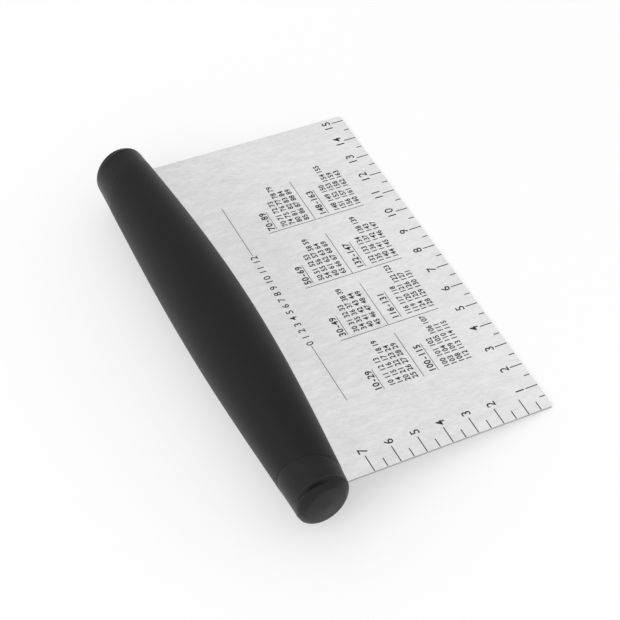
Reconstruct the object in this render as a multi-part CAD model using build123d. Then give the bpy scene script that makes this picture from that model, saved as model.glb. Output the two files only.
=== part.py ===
from build123d import *
import os
from math import asin, atan, copysign, cos, degrees, pi, radians, sin, sqrt, tan

# Lengths are in millimetres and angles in degrees.
# The scraper is drawn with its blade flat in the XY plane, the scraping edge along X at Y 0 and the handle
# towards +Y. Last of all it is laid down as it lies on a table, on its handle and its scraping edge.

# Blade
blade_width = 152.4
blade_thickness = 0.8
exposed_depth = 76.1
corner_radius = 0.8

# Handle outline. The handle is an oval barrel, taller than it is deep, with a slight bow towards the blade.
# Its ends are rounded over, and the rounding stops at a flat crown, short of its own tip by crown_cut.
handle_overhang = 6.2
middle_half_depth = 13.1
end_half_depth = 9.25
height_ratio = 1.25
bow = 1.4
belly_share = 1.35
end_round = 4.5
crown_cut = 0.8
barrel_bands = 12
lead_bands = 3
groove_bands = 2
dome_bands = 4

# Soft sleeve. Its ends lean, so that the collars beside it are wider at the back of the handle.
sleeve_wall = 2.2
seam_from_tip = 12.4
seam_lean = 21
seam_edge = 0.25
seam_gap = 0.1

# Collars and end plugs, from the sleeve out to the handle's tip. Between them runs a soft groove, deepest at
# the top and the bottom of the handle and running out to nothing at its back and front.
collar_step = 0.25
groove_from_tip = 2.85
groove_half_width = 0.65
groove_depth = 0.7
groove_lean = 7
stem_radius = 3.5
stem_length = 7.0
stem_gap = 0.05
socket_spare = 0.5

# Tang and its cross pins. The core is moulded round both, so the pins have no open ends.
shoulder_depth = 3.0
socket_web = 4.0
tang_corner_radius = 3.0
tang_past_pins = 6.0
blade_gap = 0.05
core_gap = 0.1
pin_radius = 2.0
pin_gap = 0.05
pin_spacing = 46.0
pin_half_length = 8.0

# Cuts and joined pieces run past each other by this much.
overrun = 1.0

half_blade = blade_width / 2
half_handle = half_blade + handle_overhang
rounding_x = half_handle + crown_cut - end_round
groove_x = half_handle - groove_from_tip
seam_x = half_handle - seam_from_tip
blade_side_x = half_blade + blade_gap
middle_y = exposed_depth + middle_half_depth
pin_y = middle_y
tang_end_y = pin_y + tang_past_pins
tang_half_width = groove_x - stem_length - socket_spare - socket_web
pin_places = (-pin_spacing, 0, pin_spacing)


def taper(x):
    """Share of the way from the middle's size to the tip's, 0 at the middle and 1 at the tip."""
    along = abs(x) / half_handle
    return belly_share * along ** 2 + (1 - belly_share) * along ** 4


def rounding(x):
    """Share of its size that the handle keeps at x, as it is rounded over towards its tip."""
    along = max(abs(x) - rounding_x, 0) / end_round
    return sqrt(1 - along ** 2)


def half_depth(x):
    return (middle_half_depth - (middle_half_depth - end_half_depth) * taper(x)) * rounding(x)


def half_height(x):
    return height_ratio * half_depth(x)


def axis_y(x):
    """The handle's axis bows towards the blade, most at the middle."""
    return middle_y + bow * (x / half_handle) ** 2


def section(x, inset, lean=0, drop=0):
    """The handle's oval at x, drawn in by inset all round and by drop at its top and bottom. A lean brings
    its back nearer the handle's middle and takes its front further out."""
    shift = copysign(half_depth(x) * tan(radians(lean)), x)
    back_x = x - shift
    front_x = x + shift
    back = Vector(back_x, axis_y(back_x) + half_depth(back_x))
    front = Vector(front_x, axis_y(front_x) - half_depth(front_x))
    across = back - front
    plane = Plane(origin=(back + front) / 2, x_dir=across, z_dir=across.cross(Vector(0, 0, 1)))
    return plane * Ellipse(across.length / 2 - inset, half_height(x) - inset - drop)


def barrel_sections(inset):
    """The handle's ovals between its two seams, close enough together that no flats show. Their lean grows
    with the sixth power of the way to the seam, and so stays small over most of the handle."""
    rings = []
    for step in range(1, barrel_bands):
        share = 2 * step / barrel_bands - 1
        rings.append(section(seam_x * share, inset, seam_lean * share ** 6))
    return rings


def bar(end_x, inset):
    """The handle between leaning ends at end_x, drawn in by inset all round."""
    left_end = section(-end_x, inset, seam_lean)
    right_end = section(end_x, inset, seam_lean)
    return loft([left_end, *barrel_sections(inset), right_end], ruled=True)


def both_ends(right_end):
    return right_end + mirror(right_end, about=Plane.YZ)


shoulder_y = axis_y(half_blade) - half_depth(half_blade) + shoulder_depth


def blade_outline(gap):
    """The sheet seen from above, gap larger all round: the full-width blade and the narrower tang."""
    wide = Rectangle(blade_width + 2 * gap, shoulder_y + 2 * gap, align=(Align.CENTER, Align.MIN))
    wide = fillet(wide.vertices().group_by(Axis.Y)[0], corner_radius)
    tang_length = tang_end_y + gap - shoulder_y
    narrow = Rectangle(2 * (tang_half_width + gap), tang_length + overrun, align=(Align.CENTER, Align.MAX))
    narrow = fillet(narrow.vertices().group_by(Axis.Y)[-1], tang_corner_radius)
    return Pos(0, -gap) * wide + Pos(0, tang_end_y + gap) * narrow


def blade():
    sheet = blade_outline(0)
    for x in pin_places:
        sheet -= Pos(x, pin_y) * Circle(pin_radius + pin_gap)
    return extrude(sheet, blade_thickness / 2, both=True)


def blade_slot():
    return extrude(blade_outline(blade_gap), blade_thickness / 2 + blade_gap, both=True)


def sleeve():
    end_x = seam_x - seam_gap
    right = [section(end_x - seam_edge, 0, seam_lean), section(end_x, seam_edge, seam_lean)]
    left = [section(-end_x, seam_edge, seam_lean), section(seam_edge - end_x, 0, seam_lean)]
    body = loft([*left, *barrel_sections(0), *right], ruled=True)
    return body - bar(end_x, sleeve_wall) - blade_slot()


def groove_sections(side):
    """One side of the right groove from its bottom outwards, -1 towards the collar and 1 towards the plug."""
    rings = []
    for step in range(groove_bands + 1):
        out = step / groove_bands
        drop = groove_depth * (1 + cos(pi * out)) / 2
        rings.append(section(groove_x + side * groove_half_width * out, collar_step, groove_lean, drop))
    return rings


def collar():
    """The right collar: it leans with the seam at one end and with the groove at the other."""
    rings = [section(seam_x, collar_step + seam_edge, seam_lean)]
    rings.append(section(seam_x + seam_edge, collar_step, seam_lean))
    lead_length = groove_x - groove_half_width - blade_side_x
    for step in range(lead_bands):
        share = step / lead_bands
        rings.append(section(blade_side_x + lead_length * share, collar_step, groove_lean * share))
    return loft([*rings, *reversed(groove_sections(-1))], ruled=True)


def core():
    body = bar(seam_x, sleeve_wall + core_gap) + both_ends(collar())
    socket = Pos(groove_x, axis_y(groove_x)) * Rot(0, 90, 0) * Cylinder(
        stem_radius + stem_gap, 2 * (stem_length + socket_spare)
    )
    body -= both_ends(socket)
    for x in pin_places:
        body -= Pos(x, pin_y) * Cylinder(pin_radius + pin_gap, 2 * (pin_half_length + pin_gap))
    return body - blade_slot()


def end_plug():
    """The right plug: a rounded cap with a flat crown, and a round stem that sits in the core's socket."""
    rings = groove_sections(1)
    first_turn = asin((groove_x + groove_half_width - rounding_x) / end_round)
    last_turn = asin((half_handle - rounding_x) / end_round)
    for step in range(1, dome_bands + 1):
        share = step / dome_bands
        x = rounding_x + end_round * sin(first_turn + (last_turn - first_turn) * share)
        rings.append(section(x, collar_step, groove_lean * (1 - share)))
    cap = loft(rings, ruled=True)
    stem = Cylinder(stem_radius, stem_length + overrun, align=(Align.CENTER, Align.CENTER, Align.MAX))
    return cap + Pos(groove_x + overrun, axis_y(groove_x)) * Rot(0, 90, 0) * stem


def tang_pin(x):
    return Pos(x, pin_y) * Cylinder(pin_radius, 2 * pin_half_length)


def lay_down(piece):
    """Tip the piece about the scraping edge until barrel and edge both touch Z 0, and centre it on Y."""
    return Pos(0, -centre_y, rise) * Rot(degrees(tilt), 0, 0) * piece


# The table touches the barrel's middle oval and the lower corner of the scraping edge. The tangent from that
# corner to the oval gives the tilt.
middle_half_height = half_height(0)
square_term = middle_y ** 2 - middle_half_depth ** 2
linear_term = middle_y * blade_thickness
plain_term = (blade_thickness / 2) ** 2 - middle_half_height ** 2
tilt = atan((sqrt(linear_term ** 2 - 4 * square_term * plain_term) - linear_term) / (2 * square_term))
rise = blade_thickness / 2 * cos(tilt)
front_y = -blade_thickness / 2 * sin(tilt)
back_reach = sqrt((middle_half_depth * cos(tilt)) ** 2 + (middle_half_height * sin(tilt)) ** 2)
back_y = middle_y * cos(tilt) + back_reach
centre_y = (front_y + back_y) / 2

right_plug = end_plug()
pieces = {
    "blade": blade(),
    "grip_sleeve": sleeve(),
    "handle_core": core(),
    "end_plug_left": mirror(right_plug, about=Plane.YZ),
    "end_plug_right": right_plug,
}
for name, x in zip(("tang_pin_left", "tang_pin_middle", "tang_pin_right"), pin_places):
    pieces[name] = tang_pin(x)

os.makedirs("parts", exist_ok=True)
for name, piece in pieces.items():
    export_step(lay_down(piece), f"parts/{name}.step")

print(f"tilt {degrees(tilt):.3f}, rise {rise:.3f}, centre_y {centre_y:.3f}")
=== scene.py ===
import math

import bmesh
import bpy
import numpy as np
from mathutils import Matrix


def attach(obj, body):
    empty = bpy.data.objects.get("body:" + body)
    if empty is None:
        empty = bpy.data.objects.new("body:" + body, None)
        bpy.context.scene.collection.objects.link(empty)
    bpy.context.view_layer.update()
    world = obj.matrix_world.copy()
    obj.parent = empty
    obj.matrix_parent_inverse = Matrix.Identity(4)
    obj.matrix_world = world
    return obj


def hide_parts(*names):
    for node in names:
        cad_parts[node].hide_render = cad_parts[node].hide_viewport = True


# A bench and dough scraper: a brushed steel blade with a printed rule, held along its back by a soft black grip
# with a hard collar and a rounded plug at each end. Lengths in the dictionaries are millimetres, angles degrees.

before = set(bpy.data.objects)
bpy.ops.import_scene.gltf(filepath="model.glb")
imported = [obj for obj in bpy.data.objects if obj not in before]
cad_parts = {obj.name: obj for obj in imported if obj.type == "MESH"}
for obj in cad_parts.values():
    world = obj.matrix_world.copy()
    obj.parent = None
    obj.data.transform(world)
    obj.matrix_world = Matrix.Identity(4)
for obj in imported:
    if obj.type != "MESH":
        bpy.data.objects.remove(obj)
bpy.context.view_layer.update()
print("frame loaded,", len(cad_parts), "CAD nodes")

# How the scraper lies: pieces are worked out with the blade flat and its scraping edge on the X axis, and are then
# laid down as the CAD part lies.
laidDown = {
    "tiltSine": 0.178112342,
    "tiltCosine": 0.984010159,
    "centreY": 50.459414,
    "rise": 0.393604,
}

barrel = {
    "halfLength": 82.4,
    "axisY": 89.2,
    "bow": 1.4,
    "halfDepth": 13.1,
    "tipHalfDepth": 9.25,
    "heightRatio": 1.25,
    "bellyShare": 1.35,
    "endRound": 4.5,
    "roundingX": 78.7,
    "seamX": 70.0,
    "seamLean": 21.0,
}


def layDown(points):
    # turn about the scraping edge, move to the middle of the box, and go from millimetres to metres
    x, y, z = points[..., 0], points[..., 1], points[..., 2]
    sine, cosine = laidDown["tiltSine"], laidDown["tiltCosine"]
    lyingY = y * cosine - z * sine - laidDown["centreY"]
    lyingZ = y * sine + z * cosine + laidDown["rise"]
    return np.stack([x, lyingY, lyingZ], -1) / 1000


def halfDepthAt(x):
    # middle size less a share that grows with the square and the fourth power of the way to the tip, and near the
    # tip rounded over: the size keeps the root of one less the square of the way along the rounding
    along = np.abs(x) / barrel["halfLength"]
    share = barrel["bellyShare"] * along ** 2 + (1 - barrel["bellyShare"]) * along ** 4
    turned = np.clip((np.abs(x) - barrel["roundingX"]) / barrel["endRound"], 0, 0.999)
    depth = barrel["halfDepth"] - (barrel["halfDepth"] - barrel["tipHalfDepth"]) * share
    return depth * np.sqrt(1 - turned ** 2)


def axisYAt(x):
    return barrel["axisY"] + barrel["bow"] * (x / barrel["halfLength"]) ** 2


def seamLeanAt(x):
    # the lean grows with the sixth power of the way to the seam
    return barrel["seamLean"] * np.abs(x / barrel["seamX"]) ** 6


def ovalPoint(x, angle, inset, lean=0.0):
    # The barrel is cut by an upright plane through x that leans, its back nearer the handle's middle and its front
    # further out. The cut is an oval: half its back to front length times cosine, half height times sine, both
    # drawn in by inset.
    depth = halfDepthAt(x)
    shift = np.sign(x) * depth * np.tan(np.radians(lean))
    backX, frontX = x - shift, x + shift
    backY = axisYAt(backX) + halfDepthAt(backX)
    frontY = axisYAt(frontX) - halfDepthAt(frontX)
    halfX, halfY = (backX - frontX) / 2, (backY - frontY) / 2
    keep = (1 - inset / np.hypot(halfX, halfY)) * np.cos(angle)
    z = (barrel["heightRatio"] * depth - inset) * np.sin(angle)
    points = np.broadcast_arrays((backX + frontX) / 2 + halfX * keep, (backY + frontY) / 2 + halfY * keep, z)
    return np.stack(points, -1)


def gridFaces(rows, columns, closed):
    # four-cornered faces between neighbouring points of a grid, the last column joined to the first if closed
    across = columns if closed else columns - 1
    row, column = np.meshgrid(np.arange(rows - 1), np.arange(across), indexing="ij")
    after = (column + 1) % columns
    here, beyond = row * columns, (row + 1) * columns
    corners = [here + column, here + after, beyond + after, beyond + column]
    return np.stack(corners, -1).reshape(-1, 4)


def meshFrom(name, points, faces):
    # points already lie in their place in metres; faces are lists of equal or mixed length
    mesh = bpy.data.meshes.new(name)
    mesh.from_pydata(points.reshape(-1, 3).tolist(), [], [list(map(int, face)) for face in faces])
    mesh.validate()
    return mesh


shading = {
    "mergeWithin": 1e-7,  # points closer than this are one point, in metres
    "crease": 40.0,  # edges sharper than this stay edges in the shading
}


def outward(mesh):
    # merge doubled points, then point every face outwards
    shell = bmesh.new()
    shell.from_mesh(mesh)
    bmesh.ops.remove_doubles(shell, verts=shell.verts, dist=shading["mergeWithin"])
    bmesh.ops.recalc_face_normals(shell, faces=shell.faces)
    shell.to_mesh(mesh)
    shell.free()


def addPiece(name, mesh, material, smooth=True):
    if smooth:
        mesh.shade_smooth()
        mesh.set_sharp_from_angle(angle=math.radians(shading["crease"]))
    mesh.materials.append(material)
    piece = bpy.data.objects.new(name, mesh)
    bpy.context.scene.collection.objects.link(piece)
    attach(piece, "root")
    return piece


# Shader maths: a wire is one output socket, and arithmetic on it adds Math nodes.
class Wire:
    def __init__(self, board, socket):
        self.board = board
        self.socket = socket

    def math(self, operation, first, second):
        return self.board.node("ShaderNodeMath", {"operation": operation}, {0: first, 1: second})

    def __add__(self, other):
        return self.math("ADD", self, other)

    def __mul__(self, other):
        return self.math("MULTIPLY", self, other)

    def __sub__(self, other):
        return self.math("SUBTRACT", self, other)


class Board:
    def __init__(self, owner):
        owner.use_nodes = True
        self.owner = owner
        self.tree = owner.node_tree
        self.tree.nodes.clear()

    def node(self, kind, settings=None, values=None, out=0):
        made = self.tree.nodes.new(kind)
        for key, value in (settings or {}).items():
            setattr(made, key, value)
        for key, value in (values or {}).items():
            if isinstance(value, Wire):
                self.tree.links.new(value.socket, made.inputs[key])
            else:
                made.inputs[key].default_value = value
        return Wire(self, made.outputs[out]) if made.outputs else None

    def dot(self, vector, direction):
        return self.node("ShaderNodeVectorMath", {"operation": "DOT_PRODUCT"}, {0: vector, 1: direction}, "Value")

    def joined(self, x, y, z):
        return self.node("ShaderNodeCombineXYZ", None, {0: x, 1: y, 2: z})

    def noise(self, vector, scale, detail=2.0, roughness=0.5):
        values = {"Vector": vector, "Scale": scale, "Detail": detail, "Roughness": roughness}
        return self.node("ShaderNodeTexNoise", None, values, "Fac")

    def stretchedNoise(self, parts, cycles, detail, roughness=0.5):
        # noise with its own number of cycles per metre along each of three directions
        x, y, z = (part * count for part, count in zip(parts, cycles))
        return self.noise(self.joined(x, y, z), 1.0, detail, roughness)

    def ranged(self, value, ends):
        # 0 at the first end, 1 at the second
        values = {"Value": value, "From Min": ends[0], "From Max": ends[1]}
        return self.node("ShaderNodeMapRange", None, values)

    def bump(self, height, finish):
        values = {"Strength": finish["bump"], "Distance": finish["bumpDepth"], "Height": height}
        return self.node("ShaderNodeBump", None, values)

    def mixed(self, share, first, second):
        return self.node("ShaderNodeMix", {"data_type": "RGBA"}, {0: share, 6: first, 7: second}, 2)

    def finish(self, values):
        shader = self.node("ShaderNodeBsdfPrincipled", None, values)
        self.node("ShaderNodeOutputMaterial", None, {"Surface": shader})
        return self.owner


def grey(level):
    return (level, level, level, 1.0)


# Noise is given in cycles per metre: across the brush lines, along them and through the sheet.
steelFinish = {
    "colourLow": 0.635,
    "colourHigh": 0.81,
    "lineCycles": (1700.0, 420.0, 300.0),
    "lineDetail": 3.0,
    "lineRoughness": 0.6,
    "streakCycles": (420.0, 110.0, 200.0),
    "cloudCycles": 22.0,
    "shares": (0.45, 0.35, 0.2),  # of brush lines, broad streaks and clouds in the tone
    "toneRange": (0.33, 0.67),
    "driftCycles": (90.0, 150.0, 60.0),
    "wander": 0.0016,  # how far a brush line wanders sideways, in metres
    "paintedShadeSlope": 2.2,  # painted shade: how much the tone rises per metre away from the handle, towards the scraping edge
    "paintedSideShadeSlope": 0.6,  # painted shade: how much it rises towards the left side
    "paintedShadeSides": (0.07610, 0.07619),  # painted shade on the blade's cut sides, which lie beyond these places along the edge, in metres
    "paintedSideShadeShare": 0.55,
    "paintedSideShadeColour": 0.12,
    "roughness": 0.32,
    "roughnessSpread": 0.25,
    "bump": 0.12,
    "bumpDepth": 0.00002,
}


def steelMaterial(name, finish, alongBlade):
    # brush lines run along the blade from its scraping edge to the handle, each wandering a little sideways
    board = Board(bpy.data.materials.new(name))
    place = board.node("ShaderNodeTexCoord", out="Object")
    across = board.dot(place, (1.0, 0.0, 0.0))
    along = board.dot(place, alongBlade)
    through = board.dot(place, (0.0, -alongBlade[2], alongBlade[1]))
    drift = board.stretchedNoise((across, along, through), finish["driftCycles"], 2.0) - 0.5
    wandered = (across + drift * finish["wander"], along, through)
    lines = board.stretchedNoise(wandered, finish["lineCycles"], finish["lineDetail"], finish["lineRoughness"])
    streaks = board.stretchedNoise(wandered, finish["streakCycles"], 2.0)
    clouds = board.noise(place, finish["cloudCycles"], 1.0)
    lineShare, streakShare, cloudShare = finish["shares"]
    level = lines * lineShare + streaks * streakShare + clouds * cloudShare
    # painted shade: the steel's tone is darker near the handle and towards the right side
    level = level - along * finish["paintedShadeSlope"] - across * finish["paintedSideShadeSlope"]
    tone = board.ranged(level, finish["toneRange"])
    colour = board.mixed(tone, grey(finish["colourLow"]), grey(finish["colourHigh"]))
    # painted shade: the blade's cut sides are darkened towards a dark grey
    reach = board.node("ShaderNodeMath", {"operation": "ABSOLUTE"}, {0: across})
    shade = board.ranged(reach, finish["paintedShadeSides"]) * finish["paintedSideShadeShare"]
    colour = board.mixed(shade, colour, grey(finish["paintedSideShadeColour"]))
    rough = (lines - 0.5) * finish["roughnessSpread"] + finish["roughness"]
    values = {"Base Color": colour, "Metallic": 1.0, "Roughness": rough, "Normal": board.bump(lines, finish)}
    return board.finish(values)


mouldedFinish = {
    "cloudCycles": 38.0,
    "cloudDetail": 3.0,
    "cloudRoughness": 0.55,
    "pebbleDetail": 2.0,
    "pebbleRoughness": 0.6,
    "shares": (0.7, 0.3),  # of clouds and pebbles in the tone
    "toneRange": (0.3, 0.7),
    "toneSpread": (0.88, 1.12),
    "roughnessSpread": 0.12,
    "bump": 0.22,
    "bumpDepth": 0.00003,
}

softFinish = dict(mouldedFinish, colour=0.0055, roughness=0.46, specular=0.20, pebbleCycles=2600.0)
hardFinish = dict(mouldedFinish, colour=0.0125, roughness=0.36, specular=0.155, pebbleCycles=1500.0)


def blackMaterial(name, finish):
    # moulded black plastic or rubber: fine pebbled skin, faint cloudy patches of wear in gloss and tone
    board = Board(bpy.data.materials.new(name))
    place = board.node("ShaderNodeTexCoord", out="Object")
    pebbles = board.noise(place, finish["pebbleCycles"], finish["pebbleDetail"], finish["pebbleRoughness"])
    clouds = board.noise(place, finish["cloudCycles"], finish["cloudDetail"], finish["cloudRoughness"])
    cloudShare, pebbleShare = finish["shares"]
    tone = board.ranged(clouds * cloudShare + pebbles * pebbleShare, finish["toneRange"])
    low, high = (grey(finish["colour"] * part) for part in finish["toneSpread"])
    rough = (clouds - 0.5) * finish["roughnessSpread"] + finish["roughness"]
    values = {"Base Color": board.mixed(tone, low, high), "Roughness": rough}
    values.update({"Specular IOR Level": finish["specular"], "Normal": board.bump(pebbles, finish)})
    return board.finish(values)


inkFinish = {
    "colour": 0.03,
    "toneSpread": (0.7, 1.3),
    "patchCycles": 900.0,
    "roughness": 0.6,
    "specular": 0.2,
}


def inkMaterial(name, finish):
    # dark grey etched or printed marks, a little uneven where they sit on the brush lines
    board = Board(bpy.data.materials.new(name))
    place = board.node("ShaderNodeTexCoord", out="Object")
    patches = board.noise(place, finish["patchCycles"], 2.0)
    low, high = (grey(finish["colour"] * part) for part in finish["toneSpread"])
    values = {"Base Color": board.mixed(patches, low, high), "Roughness": finish["roughness"]}
    values["Specular IOR Level"] = finish["specular"]
    return board.finish(values)


bladeAlong = (0.0, laidDown["tiltCosine"], laidDown["tiltSine"])
bladeSteel = steelMaterial("brushedBladeSteel", steelFinish, bladeAlong)
pinFinish = dict(steelFinish, lineCycles=(500.0, 500.0, 300.0), wander=0.0)
pinSteel = steelMaterial("drawnPinSteel", pinFinish, bladeAlong)
softRubber = blackMaterial("softTouchRubber", softFinish)
hardPlastic = blackMaterial("satinHardPlastic", hardFinish)
printInk = inkMaterial("printInk", inkFinish)
print("materials made")


def dressNode(name, material):
    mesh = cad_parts[name].data
    mesh.materials.clear()
    mesh.materials.append(material)


dressNode("blade", bladeSteel)
for side in ("left", "middle", "right"):
    dressNode("tang_pin_" + side, pinSteel)

# Soft sleeve: a C-shaped section all round the barrel but for the blade's slot, run from seam to seam.
sleeve = {
    "wall": 2.2,
    "seamGap": 0.01,
    "endRadius": 0.1,
    "endSteps": 5,
    "slotHalfGap": 0.45,
    "lipRadius": 0.4,
    "lipSteps": 5,
    "stations": 150,
    "arcSteps": 110,
}


def slotAngle(x, inset, height):
    # angle short of the front at which the oval is that height above the blade's middle
    return np.arcsin(height / (barrel["heightRatio"] * halfDepthAt(x) - inset))


def buildSleeve():
    endX = barrel["seamX"] - sleeve["seamGap"]
    turn = np.linspace(0, math.pi / 2, sleeve["endSteps"])
    reach = np.linspace(-1, 1, sleeve["stations"])
    radius = sleeve["endRadius"]
    endRun = endX - radius + radius * np.sin(turn)
    endInset = radius * (1 - np.cos(turn))
    xs = np.concatenate([-endRun[:0:-1], reach * (endX - radius), endRun[1:]])
    outerInset = np.concatenate([endInset[:0:-1], 0 * reach, endInset[1:]])
    xs, outerInset = xs[:, None], outerInset[:, None]
    side = np.linspace(-1, 1, sleeve["arcSteps"])[None]
    lipTop = sleeve["slotHalfGap"] + sleeve["lipRadius"]

    def arc(inset, height, sweep):
        angle = sweep * (math.pi - slotAngle(xs, inset, height))
        return ovalPoint(xs, angle, inset, seamLeanAt(xs))

    def lip(upDown, turns):
        # quarter circle from the barrel's face in to the slot's wall
        start = arc(outerInset, lipTop, np.full((1, 1), upDown))
        x = np.broadcast_to(start[..., 0], (len(xs), len(turns)))
        y = start[..., 1] + sleeve["lipRadius"] * (1 - np.cos(turns))
        z = upDown * (lipTop - sleeve["lipRadius"] * np.sin(turns))
        return np.stack([x, y, np.broadcast_to(z, x.shape)], -1)

    turns = np.linspace(0, math.pi / 2, sleeve["lipSteps"])[1:]
    outer = [lip(-1, turns[::-1]), arc(outerInset, lipTop, side), lip(1, turns)]
    outer = np.concatenate(outer, axis=1)
    inner = arc(sleeve["wall"], sleeve["slotHalfGap"], np.linspace(-1, 1, outer.shape[1])[None])
    points = np.concatenate([outer, inner[:, ::-1]], axis=1)
    rows, columns = points.shape[:2]
    faces = gridFaces(rows, columns, True)
    edge = np.arange(columns // 2 - 1)
    back = columns - 1 - edge
    cap = np.stack([edge, edge + 1, back - 1, back], -1)
    faces = np.concatenate([faces, cap, cap + (rows - 1) * columns])
    mesh = meshFrom("grip_skin", layDown(points), faces)
    outward(mesh)
    piece = addPiece("grip_skin", mesh, softRubber)
    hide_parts("grip_sleeve")


def shellFromRings(name, rings):
    # closed surface through rings of points, one after another, with a pole at each end
    count, arcSteps = rings.shape[:2]
    poles = rings[[0, -1]].mean(axis=1)
    points = np.concatenate([rings.reshape(-1, 3), poles])
    faces = [list(face) for face in gridFaces(count, arcSteps, True)]
    step = np.arange(arcSteps)
    after = (step + 1) % arcSteps
    last = (count - 1) * arcSteps
    first = np.stack([0 * step + count * arcSteps, after, step], -1)
    final = np.stack([0 * step + count * arcSteps + 1, last + step, last + after], -1)
    faces += [list(face) for face in np.concatenate([first, final])]
    mesh = meshFrom(name, layDown(points), faces)
    outward(mesh)
    return mesh


def ringsFromRows(rows, arcSteps):
    # One oval per row of x, inset, lean, groove depth and lip height. The groove takes the fourth power of the
    # sine times the third power of one plus the cosine, divided by about the most that this gives, so it is deepest
    # nearly a third of the way from the top and from the underside towards the back. The lip takes the square of
    # the sine times one less a share of the cosine, so it is highest a little towards the front. Both are gone at
    # the handle's back and front.
    angle = np.linspace(0, 2 * math.pi, arcSteps, endpoint=False)[None]
    x, inset, lean, depth, lip = (np.array(column)[:, None] for column in zip(*rows))
    sine, cosine = np.sin(angle), np.cos(angle)
    fall = depth * sine ** 4 * (1 + cosine) ** 3 / groove["mostFall"]
    rise = lip * sine ** 2 * (1 - groove["lipSkew"] * cosine)
    return ovalPoint(x, angle, inset + fall - rise, lean)


groove = {
    "x": 79.55,
    "collarWidth": 1.6,
    "mouth": 0.5,  # share of that width in which the groove falls
    "lip": 0.38,  # height of the raised lip as a share of the groove's depth
    "lipSkew": 0.5,
    "mostFall": 1.92,
    "plugWidth": 0.8,
    "leftDepth": 1.1,
    "rightDepth": 0.25,
    "lean": 7.0,
    "steps": 8,
}


def grooveRows(reach, fullDepth):
    # the groove's floor is half a cosine wave, taken from its bottom out to reach beyond it
    rows = []
    for out in np.linspace(0, 1, groove["steps"] + 1):
        depth = fullDepth * (1 + math.cos(math.pi * out)) / 2
        rows.append((groove["x"] + reach * out, core["collarStep"], groove["lean"], depth, 0.0))
    return rows


def collarRows(fullDepth):
    # the collar's side of the groove: half a cosine wave within its mouth, beside it a squared sine for the lip
    rows = []
    for out in np.linspace(0, 1, 2 * groove["steps"] + 1):
        fall = fullDepth * (1 + math.cos(math.pi * min(out / groove["mouth"], 1.0))) / 2
        lip = groove["lip"] * fullDepth * math.sin(math.pi * out) ** 2
        x = groove["x"] - groove["collarWidth"] * out
        rows.append((x, core["collarStep"], groove["lean"], fall, lip))
    return rows


core = {
    "barInset": 2.3,
    "collarStep": 0.08,
    "seamEdge": 0.03,
    "bladeHalfWidth": 76.25,
    "shoulderY": 83.81,
    "tangHalfWidth": 68.1,
    "tangEndY": 95.25,
    "pinRadius": 2.05,
    "pinHalfLength": 8.05,
    "pinSpacing": 46.0,
    "pinY": 89.2,
    "socketRadius": 3.55,
    "socketDepth": 7.5,
    "slotFrontY": 60.0,  # the cutting boxes start here, in front of the barrel
    "barSteps": 12,
    "edgeSteps": 4,
    "collarSteps": 6,
    "leadSteps": 7,
    "arcSteps": 128,
}


def cutterBox(low, high):
    corners = [[x, y, z] for x in (low[0], high[0]) for y in (low[1], high[1]) for z in (low[2], high[2])]
    faces = [(0, 1, 3, 2), (4, 6, 7, 5), (0, 4, 5, 1), (2, 3, 7, 6), (0, 2, 6, 4), (1, 5, 7, 3)]
    return np.array(corners, float), faces


def cutterRod(centre, along, radius, halfLength, steps=40):
    # round rod about the point centre, along axis 0 (X) or 2 (Z)
    turn = np.linspace(0, 2 * math.pi, steps, endpoint=False)
    circle = radius * np.stack([np.cos(turn), np.sin(turn)], -1)
    points = np.zeros((2, steps, 3))
    points[..., [axis for axis in range(3) if axis != along]] = circle
    points[0, :, along] = -halfLength
    points[1, :, along] = halfLength
    step = list(range(steps))
    faces = [(k, (k + 1) % steps, steps + (k + 1) % steps, steps + k) for k in step]
    faces += [step[::-1], [steps + k for k in step]]
    return points.reshape(-1, 3) + np.array(centre), faces


def carve(mesh, name, shapes):
    # take each closed shape out of the mesh
    body = bpy.data.objects.new(name, mesh)
    bpy.context.scene.collection.objects.link(body)
    tools = []
    for number, (points, faces) in enumerate(shapes):
        toolMesh = meshFrom("tool%d" % number, layDown(points), faces)
        outward(toolMesh)
        tool = bpy.data.objects.new("tool%d" % number, toolMesh)
        bpy.context.scene.collection.objects.link(tool)
        cut = body.modifiers.new("cut%d" % number, "BOOLEAN")
        cut.operation = "DIFFERENCE"
        cut.solver = "EXACT"
        cut.object = tool
        tools.append(tool)
    seen = body.evaluated_get(bpy.context.evaluated_depsgraph_get())
    carved = bpy.data.meshes.new_from_object(seen)
    for item in (body, *tools):
        bpy.data.objects.remove(item)
    return carved


def shares(count):
    # evenly from just past 0 to 1
    return np.linspace(0, 1, count + 1)[1:]


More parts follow.
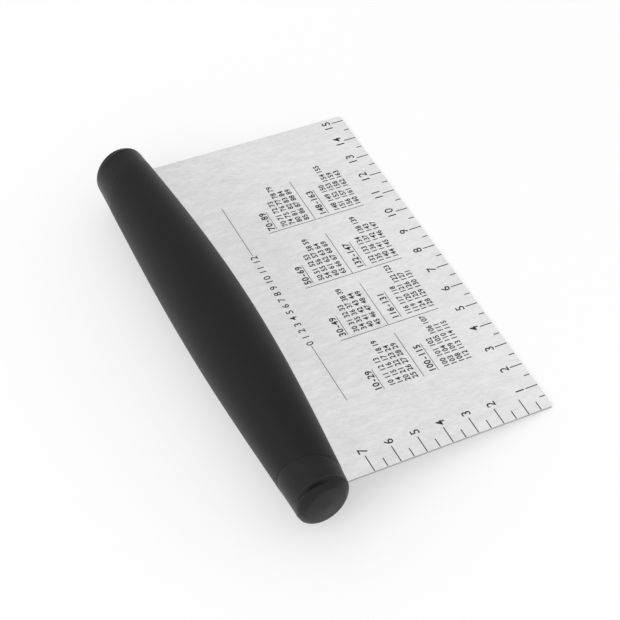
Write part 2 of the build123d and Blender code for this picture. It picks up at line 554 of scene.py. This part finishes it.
def buildCore():
    # the right half from the middle out, then the left half as its mirror image with the deeper groove
    seam, edge, step = barrel["seamX"], core["seamEdge"], core["collarStep"]
    lean, side = barrel["seamLean"], core["bladeHalfWidth"]
    start = groove["x"] - groove["collarWidth"]
    bar = np.linspace(0, seam, core["barSteps"] + 1)
    rows = [(x, core["barInset"], float(seamLeanAt(x)), 0.0, 0.0) for x in bar]
    for turn in np.linspace(0, math.pi / 2, core["edgeSteps"] + 1):
        rows.append((seam + edge * (1 - math.cos(turn)), step + edge * (1 - math.sin(turn)), lean, 0.0, 0.0))
    for share in shares(core["collarSteps"]):
        rows.append((seam + edge + (side - seam - edge) * share, step, lean * (1 - share), 0.0, 0.0))
    for share in shares(core["leadSteps"])[:-1]:
        rows.append((side + (start - side) * share, step, groove["lean"] * share, 0.0, 0.0))
    leftRows = rows + collarRows(groove["leftDepth"])[::-1]
    rows += collarRows(groove["rightDepth"])[::-1]
    rows = [(-row[0], *row[1:]) for row in leftRows[:0:-1]] + rows
    mesh = shellFromRings("collars_and_bar", ringsFromRows(rows, core["arcSteps"]))
    thick = sleeve["slotHalfGap"]
    front, tang = core["slotFrontY"], core["tangHalfWidth"]
    shapes = [
        cutterBox((-side, front, -thick), (side, core["shoulderY"], thick)),
        cutterBox((-tang, front, -thick), (tang, core["tangEndY"], thick)),
    ]
    for x in (-core["pinSpacing"], 0, core["pinSpacing"]):
        shapes.append(cutterRod((x, core["pinY"], 0), 2, core["pinRadius"], core["pinHalfLength"]))
    for x in (-groove["x"], groove["x"]):
        shapes.append(cutterRod((x, axisYAt(x), 0), 0, core["socketRadius"], core["socketDepth"]))
    mesh = carve(mesh, "collars_and_bar", shapes)
    mesh.materials.clear()
    piece = addPiece("collars_and_bar", mesh, hardPlastic)
    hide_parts("handle_core")


plug = {
    "stemRadius": 3.5,
    "stemLength": 7.0,
    "domeSteps": 14,
    "crownX": 82.5,
    "crownStart": 81.5,
    "crownBend": 81.8,
    "crownFlat": 0.05,
    "crownSteps": 12,
    "arcSteps": 128,
}


def plugCrown(angle):
    # The rounding turns into the nearly flat face along a curve with one control point, which lies on the
    # rounding's own tangent. Each ring is the oval where the crown starts, shrunk about its middle.
    start, bend, end = plug["crownStart"], plug["crownBend"], plug["crownX"]
    turned = (start - barrel["roundingX"]) / barrel["endRound"]
    first = math.sqrt(1 - turned ** 2)
    slope = -turned / (barrel["endRound"] * first)
    middle = first + slope * (bend - start)
    rings = []
    full = ovalPoint(np.array([[start]]), angle, core["collarStep"])[0]
    centre = full.mean(axis=0)
    for t in shares(plug["crownSteps"]):
        before, between, after = (1 - t) ** 2, 2 * t * (1 - t), t ** 2
        x = start * before + bend * between + end * after
        share = first * before + middle * between + plug["crownFlat"] * after
        ring = centre + (full - centre) * share / first
        ring[:, 0] = x
        rings.append(ring)
    return rings


def buildPlug(name, node, side, grooveDepth):
    # a round stem, then the leaning seat at the groove's bottom, the groove's outer side, the rounded end
    seat = groove["x"]
    angle = np.linspace(0, 2 * math.pi, plug["arcSteps"], endpoint=False)[None]
    outer = ringsFromRows(grooveRows(groove["plugWidth"], grooveDepth), plug["arcSteps"])
    first, last = seat + groove["plugWidth"], plug["crownStart"]
    turns = np.arcsin((np.array([first, last]) - barrel["roundingX"]) / barrel["endRound"])
    dome = []
    for share in shares(plug["domeSteps"]):
        turn = turns[0] + (turns[1] - turns[0]) * share
        x = barrel["roundingX"] + barrel["endRound"] * math.sin(turn)
        dome.append((x, core["collarStep"], groove["lean"] * (1 - share), 0.0, 0.0))
    dome = ringsFromRows(dome, plug["arcSteps"])
    y = axisYAt(seat) + plug["stemRadius"] * np.cos(angle[0])
    z = plug["stemRadius"] * np.sin(angle[0])
    back, front = outer[0, 0], outer[0, plug["arcSteps"] // 2]
    onSeat = front[0] + (y - front[1]) * (back[0] - front[0]) / (back[1] - front[1])
    stem = [np.stack([0 * y + seat - plug["stemLength"], y, z], -1), np.stack([onSeat, y, z], -1)]
    rings = np.stack([*stem, *outer, *dome, *plugCrown(angle)])
    rings[..., 0] *= side
    mesh = shellFromRings(name, rings)
    piece = addPiece(name, mesh, hardPlastic)
    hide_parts(node)


buildSleeve()
buildCore()
buildPlug("rounded_plug_left", "end_plug_left", -1, groove["leftDepth"])
buildPlug("rounded_plug_right", "end_plug_right", 1, groove["rightDepth"])
print("handle made")

# Print on the blade's upper face. Lengths along the blade are from its left free corner, up from the edge.
lettering = {
    "light": 0.01,  # how much an outline is grown, before it is scaled to the height of a 1
    "heavy": 0.026,
    "curveSteps": 3,
    "mergeWithin": 1e-5,
    "pitch": 0.78,  # width of a figure's place as a share of its height
    "squeeze": 0.94,
    "gap": 0.5,  # a space is this share of a figure's place
}

ruler = {
    "faceZ": 0.4,
    "sunk": 0.02,
    "proud": 0.012,
    "leftX": -76.2,
    "stroke": 0.38,
    "tickStep": 5.0,
    "tickStart": 0.15,
    "longCount": 30,
    "lastDigitShift": -0.9,
    "longTick": 5.0,
    "longHalfTick": 2.4,
    "longDigitY": 7.35,
    "digitHeight": 3.3,
    "shortCount": 14,
    "shortOffset": -0.25,
    "shortTick": 6.8,
    "shortHalfTick": 3.7,
    "shortDigitX": 8.8,
}

chart = {
    "rule": 0.22,
    "headingY": 64.2,
    "headingHeight": 2.6,
    "headingMiddle": 77.3,
    "headingCount": 13,
    "headingRules": ((29.3, 55.0), (99.7, 124.8)),
    "uprights": (53.0, 78.9, 107.3),
    "uprightSpan": (14.4, 53.7),
    "crossY": 34.7,
    "crossSpans": ((28.3, 49.0), (53.2, 73.9), (79.1, 99.7), (107.7, 128.1)),
    "columns": (28.7, 54.4, 80.1, 108.3),
    "titleY": (51.9, 30.6),
    "titleHeight": 2.6,
    "underlineY": (50.0, 28.6),
    "rowTop": (46.5, 25.0),
    "rowStep": 2.95,
    "rowHeight": 2.2,
    "titlePitch": 0.70,
    "rowPitch": 0.63,
    "rowSqueeze": 0.86,
    "rowCounts": ((4, 6, 5, 5), (3, 5, 4, 4)),
    "firstNumber": (10, 100),
}


def glyphShapes(weight):
    # the digits and the dash as closed unit solids: height of a figure 1, depth 1, made once and then copied
    shapes = {}
    for sign in "0123456789-":
        curve = bpy.data.curves.new("sign", "FONT")
        curve.body = sign
        curve.resolution_u = lettering["curveSteps"]
        curve.extrude = 0.5
        curve.offset = weight
        holder = bpy.data.objects.new("sign", curve)
        bpy.context.scene.collection.objects.link(holder)
        seen = holder.evaluated_get(bpy.context.evaluated_depsgraph_get())
        mesh = bpy.data.meshes.new_from_object(seen)
        bpy.data.objects.remove(holder)
        bpy.data.curves.remove(curve)
        shell = bmesh.new()
        shell.from_mesh(mesh)
        bmesh.ops.remove_doubles(shell, verts=shell.verts, dist=lettering["mergeWithin"])
        bmesh.ops.triangulate(shell, faces=shell.faces)
        bmesh.ops.recalc_face_normals(shell, faces=shell.faces)
        points = np.array([vertex.co[:] for vertex in shell.verts])
        faces = np.array([[vertex.index for vertex in face.verts] for face in shell.faces])
        shell.free()
        bpy.data.meshes.remove(mesh)
        shapes[sign] = (points, faces)
    tall = np.ptp(shapes["1"][0][:, 1])
    for points, _ in shapes.values():
        points[:, :2] /= tall
        points[:, 0] -= points[:, 0].min() + np.ptp(points[:, 0]) / 2
    return shapes


lightGlyphs = glyphShapes(lettering["light"])
heavyGlyphs = glyphShapes(lettering["heavy"])


class Ink:
    # gathers flat marks as closed thin solids on the blade's face
    def __init__(self):
        self.points = []
        self.faces = []
        self.count = 0

    def add(self, points, faces):
        self.points.append(points)
        self.faces += [tuple(int(k) + self.count for k in face) for face in faces]
        self.count += len(points)

    def bar(self, x0, x1, y0, y1):
        low = (x0, y0, ruler["faceZ"] - ruler["sunk"])
        high = (x1, y1, ruler["faceZ"] + ruler["proud"])
        self.add(*cutterBox(low, high))

    def across(self, x0, x1, y, stroke):
        self.bar(x0, x1, y - stroke / 2, y + stroke / 2)

    def upright(self, x, y0, y1, stroke):
        self.bar(x - stroke / 2, x + stroke / 2, y0, y1)

    def text(self, glyphs, words, x, y, height, centred=False, **spacing):
        # figures stand side by side at one pitch, a gap takes a share of it; x is the left end or the middle
        pitch, squeeze, gap = (spacing.get(key, lettering[key]) for key in ("pitch", "squeeze", "gap"))
        advance = [pitch * height * (gap if sign == " " else 1.0) for sign in words]
        starts = np.cumsum([0] + advance[:-1]) + np.array(advance) / 2
        shift = -sum(advance) / 2 if centred else 0.0
        middle = ruler["faceZ"] + (ruler["proud"] - ruler["sunk"]) / 2
        thick = ruler["proud"] + ruler["sunk"]
        for sign, start in zip(words, starts):
            if sign == " ":
                continue
            points, faces = glyphs[sign]
            placed = points * np.array([height * squeeze, height, thick])
            self.add(placed + np.array([x + start + shift, y - height / 2, middle]), faces)
        return sum(advance)

    def piece(self, name):
        points = np.concatenate(self.points)
        points[:, 0] += ruler["leftX"]
        mesh = bpy.data.meshes.new(name)
        mesh.from_pydata(layDown(points).tolist(), [], self.faces)
        addPiece(name, mesh, printInk, smooth=False)


def buildRuler():
    ink = Ink()
    stroke, start, step, tall = ruler["stroke"], ruler["tickStart"], ruler["tickStep"], ruler["digitHeight"]
    for number in range(1, ruler["longCount"] + 1):
        whole = number % 2 == 0
        ink.upright(number * step, start, ruler["longTick"] if whole else ruler["longHalfTick"], stroke)
        if whole:
            shift = ruler["lastDigitShift"] if number == ruler["longCount"] else 0.0
            ink.text(lightGlyphs, str(number // 2), number * step + shift, ruler["longDigitY"], tall, centred=True)
    for number in range(1, ruler["shortCount"] + 1):
        whole = number % 2 == 0
        y = number * step + ruler["shortOffset"]
        ink.across(start, ruler["shortTick"] if whole else ruler["shortHalfTick"], y, stroke)
        if whole and number > 2:
            ink.text(lightGlyphs, str(number // 2), ruler["shortDigitX"], y, tall, centred=True)
    ink.piece("ruler_print")


def buildChart():
    ink = Ink()
    rule = chart["rule"]
    for x0, x1 in chart["headingRules"]:
        ink.across(x0, x1, chart["headingY"], rule)
    heading = " ".join(str(number) for number in range(chart["headingCount"]))
    middle, y, tall = chart["headingMiddle"], chart["headingY"], chart["headingHeight"]
    ink.text(lightGlyphs, heading, middle, y, tall, centred=True)
    for x in chart["uprights"]:
        ink.upright(x, *chart["uprightSpan"], rule)
    for x0, x1 in chart["crossSpans"]:
        ink.across(x0, x1, chart["crossY"], rule)
    rowSpacing = {"pitch": chart["rowPitch"], "squeeze": chart["rowSqueeze"]}
    for tier in range(2):
        number = chart["firstNumber"][tier]
        for left in chart["columns"]:
            counts = chart["rowCounts"][tier]
            title = "%d-%d" % (number, number + sum(counts) - 1)
            y, tall = chart["titleY"][tier], chart["titleHeight"]
            wide = ink.text(heavyGlyphs, title, left, y, tall, pitch=chart["titlePitch"])
            ink.across(left, left + wide, chart["underlineY"][tier], rule)
            for row, count in enumerate(counts):
                words = " ".join(str(number + k) for k in range(count))
                y = chart["rowTop"][tier] - row * chart["rowStep"]
                ink.text(heavyGlyphs, words, left, y, chart["rowHeight"], **rowSpacing)
                number += count
    ink.piece("chart_print")


buildRuler()
buildChart()
print("print made")

# Floor, light and camera.
stage = {
    "floorSize": 6.0,
    "floorColour": 0.90,
    "floorRoughness": 0.9,
    "floorGlow": 0.10,
    "floorLift": 0.35,  # share of the floor's shade that the camera and mirrors see as plain white
    "skyLight": 0.88,
    "keyPower": 4.5,
    "keySize": 1.1,
    "keyPlace": (-0.2, 1.1, 1.0),
}


def cameraOrMirror(board):
    # 1 for what the camera, mirrors and glass see, 0 for the light that falls on things
    path = board.node("ShaderNodeLightPath", out="Is Camera Ray")
    glossy = Wire(board, path.socket.node.outputs["Is Glossy Ray"])
    through = Wire(board, path.socket.node.outputs["Is Transmission Ray"])
    return path.math("MAXIMUM", path.math("MAXIMUM", path, glossy), through)


def buildFloor():
    half = stage["floorSize"] / 2
    corners = np.array([[-half, -half, 0], [half, -half, 0], [half, half, 0], [-half, half, 0]])
    mesh = bpy.data.meshes.new("floor")
    mesh.from_pydata(corners.tolist(), [], [(0, 1, 2, 3)])
    board = Board(bpy.data.materials.new("paleFloor"))
    values = {"Base Color": grey(stage["floorColour"]), "Roughness": stage["floorRoughness"]}
    values.update({"Specular IOR Level": 0.0, "Emission Color": grey(1.0), "Emission Strength": stage["floorGlow"]})
    surface = board.node("ShaderNodeBsdfPrincipled", None, values)
    white = board.node("ShaderNodeEmission", None, {"Color": grey(1.0), "Strength": 1.0})
    lift = cameraOrMirror(board) * stage["floorLift"]
    shade = board.node("ShaderNodeMixShader", None, {0: lift, 1: surface, 2: white})
    board.node("ShaderNodeOutputMaterial", None, {"Surface": shade})
    mesh.materials.append(board.owner)
    floor = bpy.data.objects.new("floor", mesh)
    bpy.context.scene.collection.objects.link(floor)


def buildSky():
    # the camera, mirrors and glass see white; everything else gets the plain studio level
    world = bpy.data.worlds.new("studio")
    bpy.context.scene.world = world
    board = Board(world)
    strength = cameraOrMirror(board) * (1.0 - stage["skyLight"]) + stage["skyLight"]
    shader = board.node("ShaderNodeBackground", None, {"Color": grey(1.0), "Strength": strength})
    board.node("ShaderNodeOutputWorld", None, {"Surface": shader})


def buildKey():
    light = bpy.data.lights.new("softKey", "AREA")
    light.shape = "SQUARE"
    light.size = stage["keySize"]
    light.energy = stage["keyPower"]
    lamp = bpy.data.objects.new("softKey", light)
    bpy.context.scene.collection.objects.link(lamp)
    lamp.location = stage["keyPlace"]
    lamp.rotation_mode = "QUATERNION"
    lamp.rotation_quaternion = (-lamp.location).to_track_quat("-Z", "Y")


shot = {
    "place": (-0.351570, 0.161024, 0.521752),
    "turn": (0.485292, 0.179719, -0.256645, -0.816288),
    "lens": 106.3184,
    "sensor": 36.0,
    "clipStart": 0.02,
}


def buildCamera():
    data = bpy.data.cameras.new("camera")
    data.lens = shot["lens"]
    data.sensor_width = shot["sensor"]
    data.clip_start = shot["clipStart"]
    camera = bpy.data.objects.new("camera", data)
    bpy.context.scene.collection.objects.link(camera)
    camera.rotation_mode = "QUATERNION"
    camera.location = shot["place"]
    camera.rotation_quaternion = shot["turn"]
    bpy.context.scene.camera = camera


buildFloor()
buildSky()
buildKey()
buildCamera()
bpy.context.scene.view_settings.view_transform = "Standard"
print("stage made")
